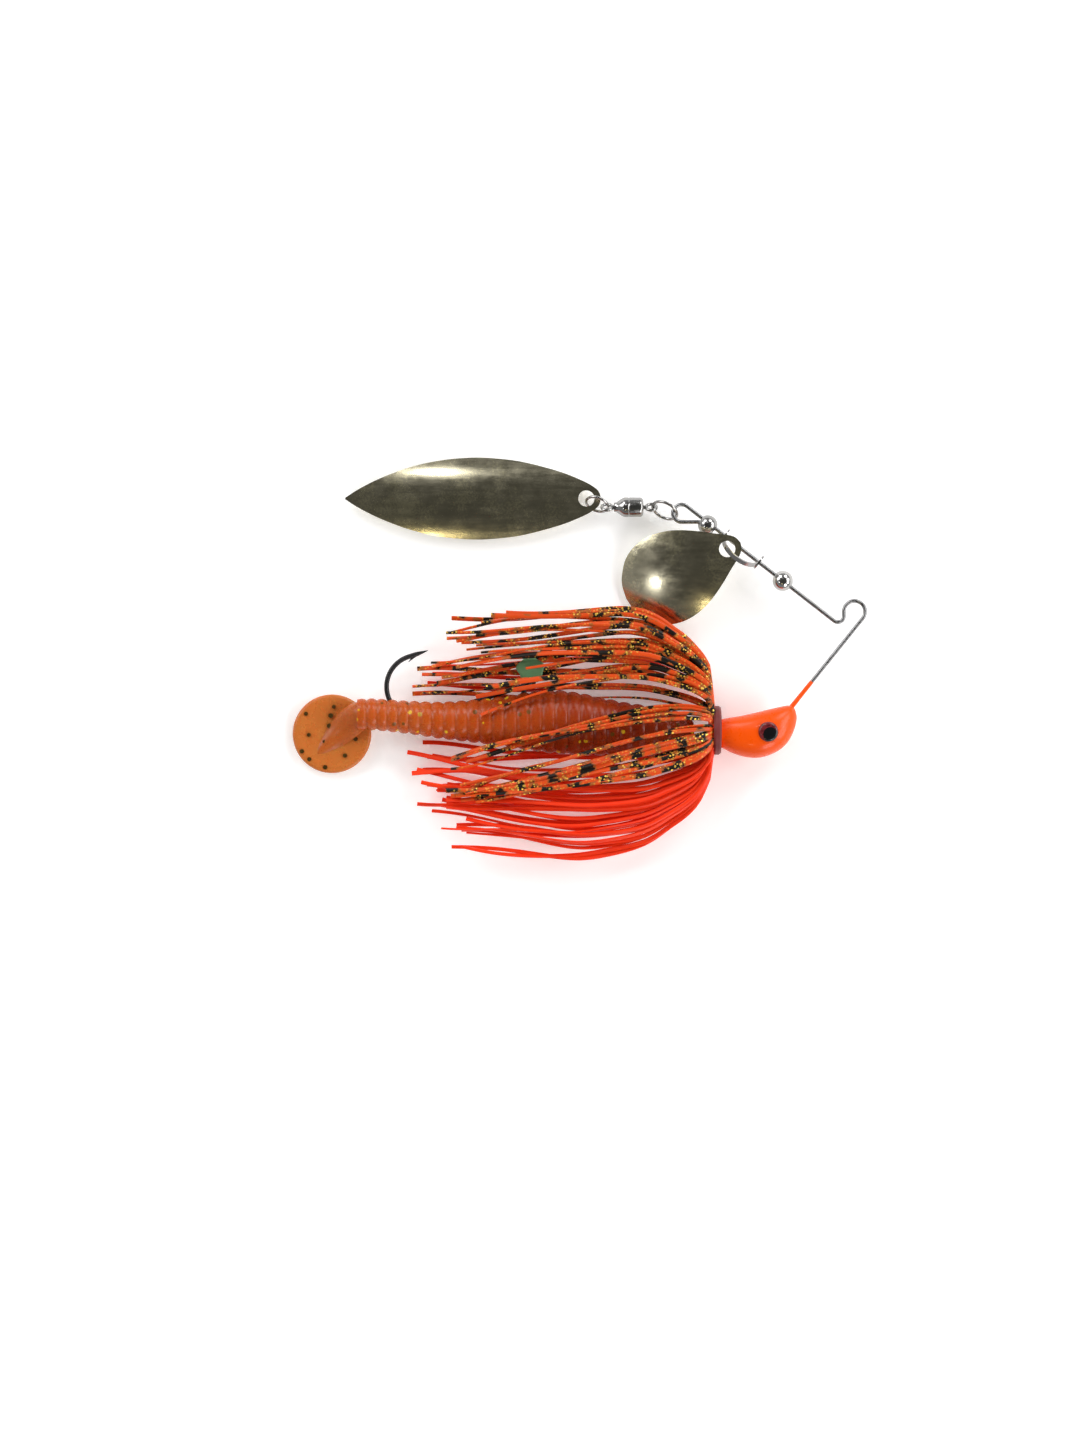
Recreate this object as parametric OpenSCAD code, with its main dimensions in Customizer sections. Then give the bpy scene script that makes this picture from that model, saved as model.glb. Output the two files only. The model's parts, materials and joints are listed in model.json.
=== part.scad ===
// Safety-pin spinner lure with two blades, a skirt, a soft paddle-tail trailer and a second hook.
// It lies on its side: +X runs to the line tie, +Z is up from the surface, origin at the bottom centre.

/* [Wire arm] */
// Diameter of the spring wire
wire_d = 0.9; // [0.8:0.05:1]
// Direction of the lower leg, from the head to the line tie, in degrees
leg_heading = 51.2; // [50.5:0.1:52]
// Straight length of the lower leg, its cast-in end included
leg_length = 27.5; // [27:0.1:28]
// Bend radius of the line tie
tie_r = 2.36; // [2.2:0.02:2.5]
// Straight length of the upper arm
arm_length = 41.4; // [41:0.1:41.8]
// Bend radius of the closed end loop
loop_r = 1.94; // [1.9:0.01:2]

/* [Head and hooks] */
// Length of the painted head
head_len = 16.8; // [16:0.1:17.5]
// Thickness of the head from cheek to cheek
head_t = 9.2; // [8.6:0.1:10]
// Diameter of each eye
eye_d = 4.4; // [4:0.1:4.8]
// Wire diameter of the main hook
hook_d = 1.2; // [1:0.05:1.3]
// Bend radius of the main hook
hook_bend_r = 9.2; // [9:0.1:9.4]
// Wire diameter of the trailer hook
stinger_d = 1.1; // [1:0.05:1.2]
// Bend radius of the trailer hook
stinger_bend_r = 7; // [6.8:0.1:7.1]

/* [Skirt] */
// Outside diameter of the collar that holds the skirt
collar_d = 10.9; // [10.6:0.1:11]
// Width of the collar
collar_w = 1.7; // [1.4:0.1:2]
// Half width of the flared skirt
flare = 28.2; // [27.5:0.1:28.6]
// Height of the skirt above the wire's plane
skirt_rise = 9.5; // [9:0.1:11]

/* [Blades] */
// Length of the long blade
willow_len = 57.1; // [56:0.1:57.5]
// Width of the long blade
willow_w = 18.3; // [17.5:0.1:18.6]
// Length of the short blade
round_len = 27.9; // [27:0.1:28.2]
// Width of the short blade
round_w = 20.4; // [19.5:0.1:20.6]
// Thickness of the blade metal
blade_t = 0.5; // [0.4:0.05:0.6]
// Diameter of the hole in each blade
blade_hole_d = 3.6; // [3.5:0.1:3.7]

/* [Swivel and beads] */
// Diameter of the swivel's barrel
barrel_d = 4.4; // [4.2:0.1:4.6]
// Diameter of the lower bead
lower_bead_d = 4.6; // [4.4:0.1:4.8]
// Diameter of the upper bead
upper_bead_d = 4.4; // [4.3:0.1:4.5]
// Inside radius of the clevis's bow
clevis_r = 4.6; // [4.5:0.1:4.7]

/* [Trailer] */
// Largest height of the trailer's body, across the lure
trailer_h = 14.1; // [13.5:0.1:14.4]
// Diameter of the paddle tail
paddle_d = 17.7; // [17:0.1:18]

/* [Hidden] */
$fn = 32;

wire_r = wire_d / 2;
plane_z = 5.6;                 // height of the wire's plane, where the skirt's underside meets the surface
body_y = -16.4;                // the line through the head, collar and skirt
fit = 0.05;                    // radial clearance of running fits
bend_thinning = 0.004;         // bent wire is a hair slimmer than straight wire
bend_reach = 0.08;             // and each bend reaches this far into the straights beside it

// ---- paths of round wire, as a pen that walks: [length] goes straight, and [radius, turn] bends left,
// or right where turn is negative
function walked(p, s) =
    len(s) == 1 ? [p.x + s[0] * cos(p.z), p.y + s[0] * sin(p.z), p.z]
    : let (side = sign(s[1]), a = p.z + s[1])
      [p.x + side * s[0] * (sin(a) - sin(p.z)), p.y - side * s[0] * (cos(a) - cos(p.z)), a];

module wire_step(p, s, r) {
    if (len(s) == 1)
        translate([p.x, p.y, 0]) rotate([0, 90, p.z]) cylinder(r = r, h = s[0]);
    else {
        side = sign(s[1]);
        reach = bend_reach / s[0] * 180 / PI;
        from = p.z - side * 90 + min(s[1], 0) - reach;
        translate([p.x - side * s[0] * sin(p.z), p.y + side * s[0] * cos(p.z), 0]) rotate([0, 0, from])
            rotate_extrude(angle = abs(s[1]) + 2 * reach) translate([s[0], 0]) circle(r - bend_thinning);
    }
}

module wire_path(p, steps, r, i = 0) {
    if (i < len(steps)) {
        wire_step(p, steps[i], r);
        wire_path(walked(p, steps[i]), steps, r, i + 1);
    }
}

// A smooth curve through evenly weighted control values: each row is [place along, value]
function slope(v, i) = i == 0 || i == len(v) - 1 ? 0 : (v[i + 1][1] - v[i - 1][1]) / (v[i + 1][0] - v[i - 1][0]);
function end_slope(v, i) =
    i == 0 ? (v[1][1] - v[0][1]) / (v[1][0] - v[0][0])
    : i == len(v) - 1 ? (v[i][1] - v[i - 1][1]) / (v[i][0] - v[i - 1][0]) : slope(v, i);
function curve(v, x, i = 0) =
    x <= v[0][0] ? v[0][1] : i >= len(v) - 1 ? v[len(v) - 1][1]
    : x > v[i + 1][0] ? curve(v, x, i + 1)
    : let (h = v[i + 1][0] - v[i][0], t = (x - v[i][0]) / h, m0 = end_slope(v, i) * h, m1 = end_slope(v, i + 1) * h)
      v[i][1] * (2 * t * t * t - 3 * t * t + 1) + m0 * (t * t * t - 2 * t * t + t)
      + v[i + 1][1] * (3 * t * t - 2 * t * t * t) + m1 * (t * t * t - t * t);

// A closed skin over rings of points, each ring with the same number of points
module loft(rings) {
    n = len(rings[0]);
    m = len(rings);
    polyhedron(
        points = [for (r = rings) for (p = r) p],
        faces = concat(
            [[for (j = [0 : n - 1]) j]],
            [for (i = [0 : m - 2]) for (j = [0 : n - 1]) each
                [[i * n + j, (i + 1) * n + j, (i + 1) * n + (j + 1) % n],
                 [i * n + j, (i + 1) * n + (j + 1) % n, i * n + (j + 1) % n]]],
            [[for (j = [n - 1 : -1 : 0]) (m - 1) * n + j]]));
}

// ---- wire arm
leg_start = [46.06, -12.92, leg_heading];
arm_heading = 142.1;
arm_steps = [[leg_length], [tie_r, 270 - leg_heading], [1], [1.35, arm_heading - 270], [arm_length],
             [loop_r, 360 - arm_heading], [3.77], [1.2, arm_heading - 180], [0.9]];
function pose_after(n) = n == 0 ? leg_start : walked(pose_after(n - 1), arm_steps[n - 1]);
arm_start = pose_after(4);
function on_arm(t) = [arm_start.x + t * cos(arm_heading), arm_start.y + t * sin(arm_heading), plane_z];
arm_side = [cos(arm_heading + 90), sin(arm_heading + 90), 0];   // across the arm, towards the skirt

module wire_arm() {
    color("silver") translate([0, 0, plane_z]) wire_path(leg_start, arm_steps, wire_r);
}

// ---- head: a cheeked wedge, flat along its back, round at its belly, with a keeper stub
neck_x = 31.7;
head_back = [neck_x + 0.2, -17.1, plane_z];
module head() {
    color("orangered") difference() {
        union() {
            hull() {
                translate(head_back) rotate([0, 90, 0]) cylinder(r = 3.1, h = 1);
                translate([neck_x + 9.5, -15.9, plane_z]) scale([1, 1, head_t / 13.2]) sphere(6.6);
                translate([neck_x + 7.2, -17, plane_z]) scale([1, 1, head_t / 11.4]) sphere(5.65);
                translate([neck_x + head_len - 1.6, -12.2, plane_z]) sphere(1.5);
            }
            translate([27.6, body_y, plane_z]) rotate([0, 90, 0]) cylinder(r = 2.5, h = 6);
        }
        for (side = [-1, 1])
            translate([42, -16.7, plane_z + side * (head_t / 2 - 0.5)]) rotate([90 - side * 90, 0, 0])
                cylinder(r = eye_d / 2 + fit, h = 3);
    }
}

module eye(side) {
    dome_r = 5.2;
    translate([42, -16.7, plane_z + side * (head_t / 2 - 0.45)]) rotate([90 - side * 90, 0, 0])
        intersection() {
            cylinder(d = eye_d, h = 3);
            translate([0, 0, 0.95 - dome_r]) sphere(dome_r);
        }
}
module near_eye() { color("maroon") eye(1); }
module far_eye() { color("maroon") eye(-1); }

// ---- main hook: shank through collar and head, round bend, spear point with a barb
hook_line = -16;
hook_bend_x = -2.9;
module spear_point(p, r, len) {
    translate([p.x, p.y, 0]) rotate([0, 90, p.z]) translate([0, 0, -bend_reach])
        cylinder(r1 = r - bend_thinning, r2 = 0.12, h = len);
}
module main_hook() {
    steps = [[44.5 - hook_bend_x], [hook_bend_r, -180], [6]];
    start = [44.5, hook_line, 180];
    color("dimgray") translate([0, 0, plane_z]) {
        wire_path(start, steps, hook_d / 2);
        spear_point(walked(walked(walked(start, steps[0]), steps[1]), steps[2]), hook_d / 2, 4);
    }
}

// ---- trailer hook: its eye rides on the main hook's bend, its shank runs slanting through the trailer
stinger_heading = 197.9;
stinger_start = [-13.16, -6.86, stinger_heading];
stinger_eye_r = 1.75;
module trailer_hook() {
    steps = [[21.25], [stinger_bend_r, -180], [1.2]];
    tip = walked(walked(walked(stinger_start, steps[0]), steps[1]), steps[2]);
    color("dimgray") translate([0, 0, plane_z]) {
        wire_path(stinger_start, steps, stinger_d / 2);
        spear_point(tip, stinger_d / 2, 3.4);
        translate([stinger_start.x, stinger_start.y, 0]) rotate([0, 0, stinger_heading - 180])
            translate([stinger_eye_r, 0, 0]) rotate([90, 0, 0])
                rotate_extrude() translate([stinger_eye_r, 0]) circle(stinger_d / 2 - 0.05);
    }
}

// ---- keeper disc: a soft washer pushed over the main hook's bend, lying back flat
keeper_d = 6;
module keeper_disc() {
    color("seagreen") translate([-10.6, -3, plane_z + 0.4]) rotate([8, 14, 0]) translate([0, 0, -0.5])
        cylinder(d = keeper_d, h = 1);
}

// ---- collar
module skirt_collar() {
    r = collar_d / 2;
    w = collar_w / 2;
    color("rosybrown") translate([neck_x - w, body_y, plane_z]) rotate([0, 90, 0])
        rotate_extrude() polygon([[4.65, -w], [r - 0.35, -w], [r, -w * 0.5], [r, w * 0.5], [r - 0.35, w], [4.65, w]]);
}

// ---- skirt: a bell of four tabs, round at the collar, flattened by the surface below
// outer rows: distance behind the collar, then a share of the half width or of the rise, or a depth in mm;
// inner rows: distance behind the collar, then mm
flare_out = [[-1.6, 0.16], [0, 0.17], [0.8, 0.4], [2, 0.58], [4, 0.68], [7, 0.78], [12, 0.9], [20, 0.985],
             [30, 1], [42, 0.985], [53, 0.95], [63, 0.87]];
rise_out = [[-1.6, 0.475], [0, 0.5], [0.8, 0.64], [2, 0.76], [4, 0.86], [7, 0.92], [12, 0.97], [20, 1],
            [42, 0.95], [63, 0.8]];
flare_in = [[-1.6, 2.8], [0, 3], [0.8, 4.6], [2, 9], [4, 14], [7, 17.6], [12, 20.6], [20, 22.4],
            [42, 22.4], [63, 20.5]];
rise_in = [[-1.6, 2.8], [0, 3], [0.8, 3.8], [2, 4.6], [4, 5.2], [7, 5.8], [12, 6.2], [20, 6.6],
           [42, 6.3], [63, 5.6]];
drop_out = [[-1.6, 4.5], [0, 4.7], [0.8, 5.2], [2, 5.5], [4, 5.6], [63, 5.6]];
drop_in = [[-1.6, 2.8], [0, 3], [0.8, 3.6], [2, 4.4], [4, 4.72], [63, 4.72]];
skirt_stations = [-1.6, 0, 0.8, 2, 4, 7, 12, 20, 30, 42, 53, 63];

function bell_point(s, wide, up, down, a) =
    [neck_x - collar_w - s, body_y + wide * cos(a), plane_z + (sin(a) > 0 ? up : down) * sin(a)];
function tab_ring(s, a0, a1, share, n) =
    let (wo = share * flare * curve(flare_out, s), uo = skirt_rise * curve(rise_out, s), d_o = curve(drop_out, s),
         wi = curve(flare_in, s), ui = curve(rise_in, s), di = curve(drop_in, s))
    concat([for (i = [0 : n]) bell_point(s, wo, uo, d_o, a0 + (a1 - a0) * i / n)],
           [for (i = [n : -1 : 0]) bell_point(s, wi, ui, di, a0 + (a1 - a0) * i / n)]);
module skirt_tab(a0, a1, share = 1, n = 10) {
    loft([for (s = skirt_stations) tab_ring(s, a0, a1, share, n)]);
}
// the upper tab is drawn in a little, so that the short blade clears it all the way round
module skirt_upper_tab() { color("orangered") skirt_tab(-34, 37, 0.87); }
module skirt_front_tab() { color("tomato") skirt_tab(45, 133); }
module skirt_lower_tab() { color("red") skirt_tab(135, 219); }
module skirt_back_tab() { color("firebrick") skirt_tab(221, 319); }

// ---- trailer body: oval in section, deep at its shoulder, slim at its tail
body_centre = [[-45, -12.9], [-38, -13.5], [-30, -14.2], [-19, -14.4], [-7, -14.4], [5, -15.5], [11, -16.2],
               [18, -16.6], [26, -16.5]];
body_half = [[-45, 0.51], [-38, 0.53], [-30, 0.6], [-19, 0.76], [-7, 1], [0, 1], [5, 0.93], [11, 0.86], [18, 0.77],
             [23, 0.58], [25.4, 0.34], [26, 0.12]];
body_above = [[-45, 3.3], [-30, 3.9], [-7, 4.8], [5, 4.8], [18, 4.2], [23, 3.2], [25.4, 1.8], [26, 0.7]];
body_below = [[-45, 3.3], [-30, 3.8], [-7, 4.4], [5, 4.4], [18, 4], [23, 3], [25.4, 1.7], [26, 0.7]];
trailer_stations = concat([for (x = [-45 : 3 : 21]) x], [23, 24.5, 25.4, 26]);
function body_ring(x, n) =
    let (h = trailer_h / 2 * curve(body_half, x), u = curve(body_above, x), d = curve(body_below, x))
    [for (i = [0 : n - 1]) let (a = -360 * i / n)
        [x, curve(body_centre, x) + h * cos(a), plane_z + (sin(a) > 0 ? u : d) * sin(a)]];
module trailer_body() {
    color("darkorange") loft([for (x = trailer_stations) body_ring(x, 24)]);
}

// ---- trailer tail: a knuckle at the neck, a stem that narrows, and the round paddle
tail_hinge = [-48.6, -12.9, 4.6];
paddle_at = [-54.9, -17.2, 1];
module trailer_tail() {
    color("sandybrown") {
        translate(paddle_at) cylinder(d = paddle_d, h = 1.6);
        hull() {
            translate(tail_hinge) rotate([90, 0, 0]) cylinder(r = 3.2, h = 6.6, center = true);
            translate([-58.4, -21.6, 2]) sphere(1.2);
        }
    }
}

// ---- beads: hollow balls, bored along the arm
lower_bead_t = 14.46;
module on_wire(t, across = 0) {
    translate(on_arm(t) + across * arm_side) rotate([0, 90, arm_heading]) children();
}
module lower_bead() {
    color("gainsboro") on_wire(lower_bead_t) difference() {
        sphere(d = lower_bead_d);
        cylinder(r = wire_r + fit, h = 6, center = true);
    }
}
upper_bead_t = 35.25;
tail_offset = 0.46;            // the end loop's tail lies beside the arm inside the upper bead
module upper_bead() {
    color("gainsboro") on_wire(upper_bead_t, tail_offset) difference() {
        sphere(d = upper_bead_d);
        cylinder(r = 2 * wire_r + 0.1, h = 6, center = true);
    }
}

// ---- clevis: a flat strip bent to a half ring, with a round ear on each end that turns on the wire
clevis_t = 0.4;
clevis_strip = 1;
blade_drop = 0.15;              // how far the blade hangs below the middle of the bow's strip
clevis_lean = 34;              // lean from upright, towards the skirt
hook_on = 33;                  // where on the bow the blade hangs, from its top
clevis_at = 25.98;             // place of its middle on the arm
module clevis_frame() {
    // local X runs down the arm, local Y stands up the bow
    translate(on_arm(clevis_at)) rotate([0, 0, arm_heading + 180]) rotate([90 + clevis_lean, 0, 0]) children();
}
module clevis() {
    mid = clevis_r + clevis_t / 2;
    color("silver") clevis_frame() difference() {
        union() {
            rotate_extrude(angle = 180) translate([clevis_r, -clevis_strip / 2]) square([clevis_t, clevis_strip]);
            for (side = [-1, 1]) translate([side * mid, 0, 0]) rotate([0, 90, 0])
                cylinder(r = 1.75, h = clevis_t, center = true);
        }
        rotate([0, 90, 0]) cylinder(r = wire_r + fit + 0.03, h = 3 * clevis_r, center = true);
    }
}

// ---- blades: sheet metal pressed into a dome or a trough
function blade_edge(shape, l, w, n = 48) =
    let (top = [for (i = [1 : n - 1]) let (u = (1 - cos(180 * i / n)) / 2) [u * l, w / 2 * curve(shape, u)]])
    concat([[0, 0]], top, [[l, 0]], [for (i = [n - 2 : -1 : 0]) [top[i].x, -top[i].y]]);

// width of the short blade along its length, from its hole end
round_shape = [[0, 0], [0.015, 0.13], [0.05, 0.24], [0.15, 0.42], [0.3, 0.69], [0.45, 0.9], [0.6, 1], [0.75, 0.96],
               [0.87, 0.78], [0.95, 0.5], [0.985, 0.28], [1, 0]];
dome_r = 42;
round_heading = 205.8;
round_end = 3.3;               // from the hole's middle to the blade's end
blade_hole = on_arm(clevis_at) + (clevis_r + clevis_t / 2) * (-sin(hook_on)) * [-cos(arm_heading), -sin(arm_heading), 0]
    + (clevis_r + clevis_t / 2) * cos(hook_on) * (sin(clevis_lean) * arm_side + [0, 0, cos(clevis_lean)])
    - [0, 0, blade_drop];
module colorado_blade() {
    color("darkkhaki") translate(blade_hole) rotate([0, 0, round_heading]) difference() {
        intersection() {
            translate([-round_end, 0, -20]) linear_extrude(30) polygon(blade_edge(round_shape, round_len, round_w));
            translate([0, 0, -dome_r]) difference() {
                sphere(dome_r + blade_t / 2, $fn = 128);
                sphere(dome_r - blade_t / 2, $fn = 128);
            }
        }
        cylinder(d = blade_hole_d, h = 4, center = true);
    }
}

// width of the long blade along its length, from its hole end
willow_shape = [[0, 0], [0.008, 0.16], [0.03, 0.29], [0.077, 0.45], [0.163, 0.66], [0.31, 0.9], [0.42, 0.985],
                [0.51, 1], [0.63, 0.93], [0.743, 0.77], [0.857, 0.51], [0.946, 0.235], [1, 0.02]];
trough_r = 26;
willow_end = 3.3;
willow_at = [1.9, 35.3, 2.65];
willow_tilt = 1.1;
module willow_blade() {
    color("darkkhaki") translate(willow_at) rotate([0, -willow_tilt, 180]) difference() {
        intersection() {
            translate([-willow_end, 0, -8]) linear_extrude(16) polygon(blade_edge(willow_shape, willow_len, willow_w));
            translate([-10, 0, -trough_r]) rotate([0, 90, 0]) difference() {
                cylinder(r = trough_r + blade_t / 2, h = 80, $fn = 128);
                translate([0, 0, -1]) cylinder(r = trough_r - blade_t / 2, h = 82, $fn = 128);
            }
        }
        cylinder(d = blade_hole_d, h = 4, center = true);
    }
}

// ---- swivel: rings and a ball-bearing barrel on one line
swivel_line = [0, 33.3, 3.4];
ring_tilt = 58;
inner_ring_r = 2.9;
outer_ring_r = 2.55;
eye_r = 1.15;
module ring(at, heading, rise, r, wire) {
    translate(at) rotate([0, -rise, heading]) rotate([ring_tilt, 0, 0])
        rotate_extrude() translate([r, 0]) circle(wire);
}
module inner_ring() { color("silver") ring([19.35, 32.55, 4.5], -15, 20, inner_ring_r, 0.35); }
module outer_ring() { color("silver") ring([4.3, 34, 3], -14.9, 9, outer_ring_r, 0.33); }

barrel_from = 8;
barrel_to = 14.6;
module along_swivel(x) { translate(swivel_line + [x, 0, 0]) rotate([0, 90, 0]) children(); }
module swivel_barrel() {
    r = barrel_d / 2;
    color("silver") along_swivel(0) rotate_extrude() polygon([
        [0.58, barrel_from], [1.05, barrel_from], [1.25, barrel_from + 0.7], [r, barrel_from + 2.2],
        [r, barrel_to - 0.5], [r - 0.5, barrel_to], [0.48, barrel_to], [0.48, barrel_to - 1.4],
        [r - 0.45, barrel_to - 1.4], [r - 0.45, barrel_from + 2.6], [0.58, barrel_from + 2.6]]);
}
module swivel_link(eye_x, eye_wire, shaft_r, from, to, flange_r, flange_from, flange_to) {
    translate(swivel_line + [eye_x, 0, 0]) rotate([-50, 0, 0]) rotate_extrude() translate([eye_r, 0]) circle(eye_wire);
    along_swivel(from) cylinder(r = shaft_r, h = to - from);
    along_swivel(flange_from) cylinder(r = flange_r, h = flange_to - flange_from);
}
module swivel_eye() { color("silver") swivel_link(16.35, 0.38, 0.45, 12.8, 15.2, 1, 12.7, 13.15); }
module swivel_stem() { color("silver") swivel_link(6.5, 0.36, 0.5, 7.5, 12, 1.35, 11.5, 12); }
ball_r = 0.36;
ball_ring = 1.06;
module swivel_balls() {
    color("lightgray") along_swivel(barrel_from + 3.04)
        for (i = [0 : 6]) rotate([0, 0, 360 / 7 * i]) translate([ball_ring, 0, 0]) sphere(ball_r);
}

head();
near_eye();
far_eye();
wire_arm();
main_hook();
skirt_collar();
skirt_upper_tab();
skirt_front_tab();
skirt_lower_tab();
skirt_back_tab();
trailer_body();
trailer_tail();
trailer_hook();
keeper_disc();
lower_bead();
upper_bead();
clevis();
colorado_blade();
inner_ring();
swivel_barrel();
swivel_eye();
swivel_balls();
swivel_stem();
outer_ring();
willow_blade();
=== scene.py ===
import bmesh
import bpy
import json
import math
import random
from mathutils import Matrix, Vector

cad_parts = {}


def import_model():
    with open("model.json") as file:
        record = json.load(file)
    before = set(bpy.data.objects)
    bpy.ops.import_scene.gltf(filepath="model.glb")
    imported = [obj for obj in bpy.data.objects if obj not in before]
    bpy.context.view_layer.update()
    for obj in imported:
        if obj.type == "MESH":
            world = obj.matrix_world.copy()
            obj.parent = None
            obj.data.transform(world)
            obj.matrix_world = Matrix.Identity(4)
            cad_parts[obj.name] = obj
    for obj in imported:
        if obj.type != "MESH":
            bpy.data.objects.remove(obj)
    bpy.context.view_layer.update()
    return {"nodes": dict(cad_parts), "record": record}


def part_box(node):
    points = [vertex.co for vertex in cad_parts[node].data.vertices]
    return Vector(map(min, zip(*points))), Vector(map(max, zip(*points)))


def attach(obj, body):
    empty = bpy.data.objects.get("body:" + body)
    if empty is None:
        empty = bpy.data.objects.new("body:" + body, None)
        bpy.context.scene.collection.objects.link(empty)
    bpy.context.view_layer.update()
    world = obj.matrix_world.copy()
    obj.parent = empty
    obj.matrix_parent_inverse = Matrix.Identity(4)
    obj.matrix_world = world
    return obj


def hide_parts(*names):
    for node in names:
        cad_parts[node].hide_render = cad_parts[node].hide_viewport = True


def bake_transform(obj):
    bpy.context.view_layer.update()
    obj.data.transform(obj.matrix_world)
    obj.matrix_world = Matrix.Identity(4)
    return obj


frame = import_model()
MM = 0.001
TAU = 2 * math.pi


def mm(x, y, z):
    return Vector((x * MM, y * MM, z * MM))


def low(node):
    return [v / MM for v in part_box(node)[0]]


def high(node):
    return [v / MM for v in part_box(node)[1]]


# ---- the frame's own places, in millimetres
WIRE_R = (high("wire_arm")[2] - low("wire_arm")[2]) / 2
PLANE = (high("wire_arm")[2] + low("wire_arm")[2]) / 2
COLLAR_BACK = low("skirt_collar")[0]
BODY_Y = (low("skirt_collar")[1] + high("skirt_collar")[1]) / 2


# ---- camera, lights and floor
VIEW_WIDTH = 0.240        # metres seen across the picture at the height of the wire
VIEW_HEIGHT = VIEW_WIDTH * 1435 / 1080
CAMERA_X, CAMERA_Y, CAMERA_Z = -0.00844, -0.01356, 0.75
SIDE_SUNS = (15, 58, 122, 155, 300, 345)  # bearings in degrees that the blades and the barrel don't mirror
SUN_RISE = 0.6
SUN_SPREAD = 28
SUN_STRENGTH = 0.92
FLOOR_DROP = 0.0001


def aim(obj, target):
    obj.rotation_euler = (target - obj.location).to_track_quat("-Z", "Y").to_euler()


def camera():
    data = bpy.data.cameras.new("camera")
    data.sensor_width = 36
    data.lens = data.sensor_width * (CAMERA_Z - PLANE * MM) / VIEW_HEIGHT
    cam = bpy.data.objects.new("camera", data)
    cam.location = (CAMERA_X, CAMERA_Y, CAMERA_Z)
    bpy.context.scene.collection.objects.link(cam)
    bpy.context.scene.camera = cam


def soft_light(name, direction, distance, size, power, colour=(1, 1, 1)):
    data = bpy.data.lights.new(name, "AREA")
    data.shape = "DISK"
    data.size = size
    data.energy = power
    data.color = colour
    lamp = bpy.data.objects.new(name, data)
    lamp.location = Vector(direction).normalized() * distance
    bpy.context.scene.collection.objects.link(lamp)
    aim(lamp, Vector((0, 0, 0)))


def low_sun(name, direction, spread, strength):
    """An even light from far off, as wide as a studio panel seems from the lure."""
    data = bpy.data.lights.new(name, "SUN")
    data.angle = math.radians(spread)
    data.energy = strength
    lamp = bpy.data.objects.new(name, data)
    lamp.location = Vector(direction).normalized()
    bpy.context.scene.collection.objects.link(lamp)
    aim(lamp, Vector((0, 0, 0)))


def lights():
    for i, degrees in enumerate(SIDE_SUNS):
        turn = math.radians(degrees)
        low_sun(f"side_{i}", (math.cos(turn), math.sin(turn), SUN_RISE), SUN_SPREAD, SUN_STRENGTH)
    soft_light("long_blade_glint", (-0.11, 0.56, 0.9), 1.2, 0.05, 0.5)
    soft_light("gold_edge_glint", (-0.13, -0.54, 0.83), 1.2, 0.12, 0.35, (1, 0.86, 0.5))
    soft_light("short_blade_glint", (-0.65, -0.27, 0.7), 1.0, 0.07, 0.35)


def world():
    """Pale near the horizon and dark overhead, which is what the flat blades mirror."""
    w = bpy.data.worlds.new("studio")
    bpy.context.scene.world = w
    w.use_nodes = True
    t = w.node_tree
    t.nodes.clear()
    coord = t.nodes.new("ShaderNodeTexCoord")
    split = t.nodes.new("ShaderNodeSeparateXYZ")
    ramp = t.nodes.new("ShaderNodeValToRGB")
    ramp.color_ramp.elements[0].position = 0.42
    ramp.color_ramp.elements[0].color = (0.34, 0.34, 0.34, 1)
    ramp.color_ramp.elements[1].position = 0.78
    ramp.color_ramp.elements[1].color = (0.07, 0.07, 0.065, 1)
    back = t.nodes.new("ShaderNodeBackground")
    out = t.nodes.new("ShaderNodeOutputWorld")
    t.links.new(coord.outputs["Generated"], split.inputs[0])
    t.links.new(split.outputs["Z"], ramp.inputs[0])
    t.links.new(ramp.outputs[0], back.inputs[0])
    t.links.new(back.outputs[0], out.inputs[0])


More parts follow.
